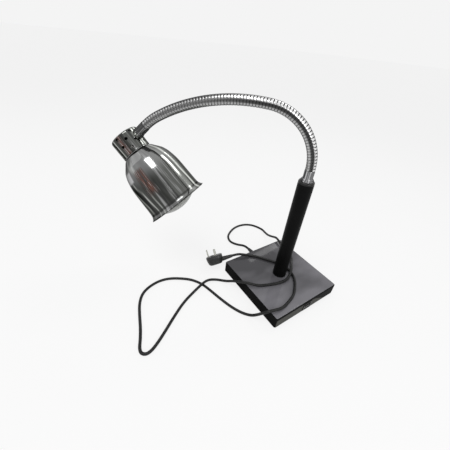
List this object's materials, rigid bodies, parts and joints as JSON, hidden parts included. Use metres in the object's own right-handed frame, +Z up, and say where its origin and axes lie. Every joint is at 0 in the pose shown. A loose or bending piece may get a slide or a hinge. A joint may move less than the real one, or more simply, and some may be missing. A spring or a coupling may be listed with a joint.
{
  "type": "food heat lamp",
  "caption": "Free-standing heat lamp: chrome bell shade with a reflector bulb on a bendable gooseneck, black post, square weighted base with rocker switch, cord and plug.",
  "frame": {"origin": "middle of the underside of the base, on the surface it stands on", "axes": "+Z up; the neck leans toward -X -Y; the rocker switch is in the +X side and the cord leaves the -X side"},
  "size_m": [0.4597, 0.5511, 0.4951],
  "materials": {
    "shell": "gloss",
    "post": "satin",
    "cover": "matt",
    "ballast": "raw",
    "pad": "matt",
    "zinc": "zinc plated",
    "chrome": "polished",
    "brass": "plain",
    "nickel": "nickel plated",
    "ceramic": "glazed ceramic look",
    "glass": "frosted",
    "black_plastic": "satin",
    "gloss_black": "gloss",
    "white_plastic": "satin",
    "cord": "satin"
  },
  "bodies": {
    "base": {"base_shell": "shell", "base_ballast": "ballast", "base_plate": "cover", "base_plate_screws": "zinc", "base_spacers": "zinc", "base_pad": "pad", "post_tube": "post", "post_foot_plug": "zinc", "post_nipple": "zinc", "post_washer": "zinc", "post_nut": "zinc", "post_cap": "gloss_black", "post_cable": "cord", "terminal_block": "white_plastic", "terminal_screws": "brass", "switch_frame": "gloss_black", "switch_blades": "brass", "cord_gland": "black_plastic", "gland_nut": "black_plastic", "cord_tail": "cord", "power_cord": "cord", "plug_body": "black_plastic", "plug_relief": "cord", "plug_earth_pin": "brass", "plug_power_pins": "brass", "plug_fuse_carrier": "black_plastic"},
    "neck_1": {"neck_flange": "chrome", "lower_ferrule": "chrome", "neck_spindle": "zinc", "spindle_nut": "zinc", "neck_section_1": "chrome"},
    "neck_2": {"neck_section_2": "chrome"},
    "neck_3": {"neck_section_3": "chrome"},
    "neck_4": {"neck_section_4": "chrome"},
    "neck_5": {"neck_section_5": "chrome", "upper_ferrule": "chrome", "neck_stem": "zinc", "stem_nut": "zinc"},
    "head": {"socket_housing": "chrome", "holder_bracket": "zinc", "lamp_holder": "ceramic", "holder_shell": "nickel", "holder_contact": "brass", "holder_screws": "zinc", "shade": "chrome", "shade_ring": "ceramic", "bulb_contact": "zinc", "bulb_cap": "nickel", "bulb_glass": "glass"},
    "rocker": {"switch_rocker": "gloss_black"}
  },
  "joints": [
    {"name": "neck_turn", "type": "hinge", "parent": "base", "child": "neck_1", "pos_m": [0, 0, 0.336], "axis": [0, 0, 1], "range_deg": [-60, 60]},
    {"name": "neck_bend_1", "type": "hinge", "parent": "neck_1", "child": "neck_2", "pos_m": [-0.02339, -0.02339, 0.44453], "axis": [0.7071, -0.7071, 0], "range_deg": [-15, 10]},
    {"name": "neck_bend_2", "type": "hinge", "parent": "neck_2", "child": "neck_3", "pos_m": [-0.08263, -0.08263, 0.48298], "axis": [0.7071, -0.7071, 0], "range_deg": [-15, 10]},
    {"name": "neck_bend_3", "type": "hinge", "parent": "neck_3", "child": "neck_4", "pos_m": [-0.14923, -0.14923, 0.47877], "axis": [0.7071, -0.7071, 0], "range_deg": [-15, 10]},
    {"name": "neck_bend_4", "type": "hinge", "parent": "neck_4", "child": "neck_5", "pos_m": [-0.21329, -0.21329, 0.45264], "axis": [0.7071, -0.7071, 0], "range_deg": [-15, 10]},
    {"name": "head_turn", "type": "hinge", "parent": "neck_5", "child": "head", "pos_m": [-0.28395, -0.28395, 0.38391], "axis": [-0.5, -0.5, -0.7071], "range_deg": [-45, 45]},
    {"name": "switch_rock", "type": "hinge", "parent": "base", "child": "rocker", "pos_m": [0.11, 0, 0.0175], "axis": [0, 1, 0], "range_deg": [-20, 0]}
  ]
}
